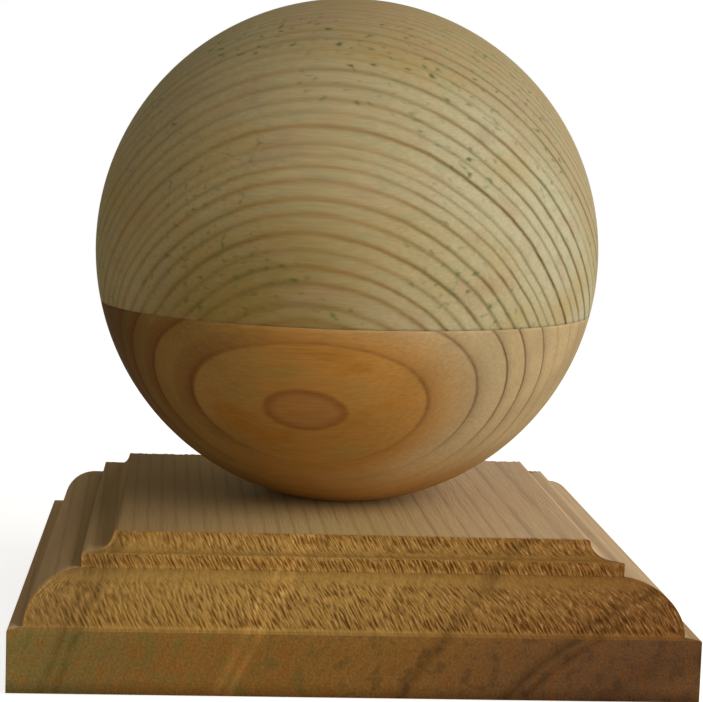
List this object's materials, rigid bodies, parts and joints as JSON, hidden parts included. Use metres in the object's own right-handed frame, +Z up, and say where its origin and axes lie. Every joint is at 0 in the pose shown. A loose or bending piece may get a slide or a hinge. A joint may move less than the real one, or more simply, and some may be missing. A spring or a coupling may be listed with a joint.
{
  "type": "ball post finial",
  "caption": "Turned softwood ball, glued up from blocks, on a square base plate with a stepped and rounded moulding, for the top of a square timber post.",
  "frame": {"origin": "middle of the base plate's underside, where it meets the post", "axes": "+Z up through the middle of the ball, +Y along the plate's grain and away from the picture's view, +X to the right along the plate's end-grain front"},
  "size_m": [0.12, 0.12, 0.122],
  "materials": {
    "plate_wood": "planed softwood, rough on the end grain, preservative treated",
    "ball_lower_wood": "turned and sanded softwood, orange brown",
    "ball_upper_wood": "turned and sanded softwood, greenish tan from the preservative",
    "screw_steel": "zinc plated and yellow passivated"
  },
  "bodies": {
    "root": {"base_plate": "plate_wood", "ball_lower_block": "ball_lower_wood", "ball_upper_block": "ball_upper_wood", "fixing_screw": "screw_steel"}
  },
  "joints": []
}
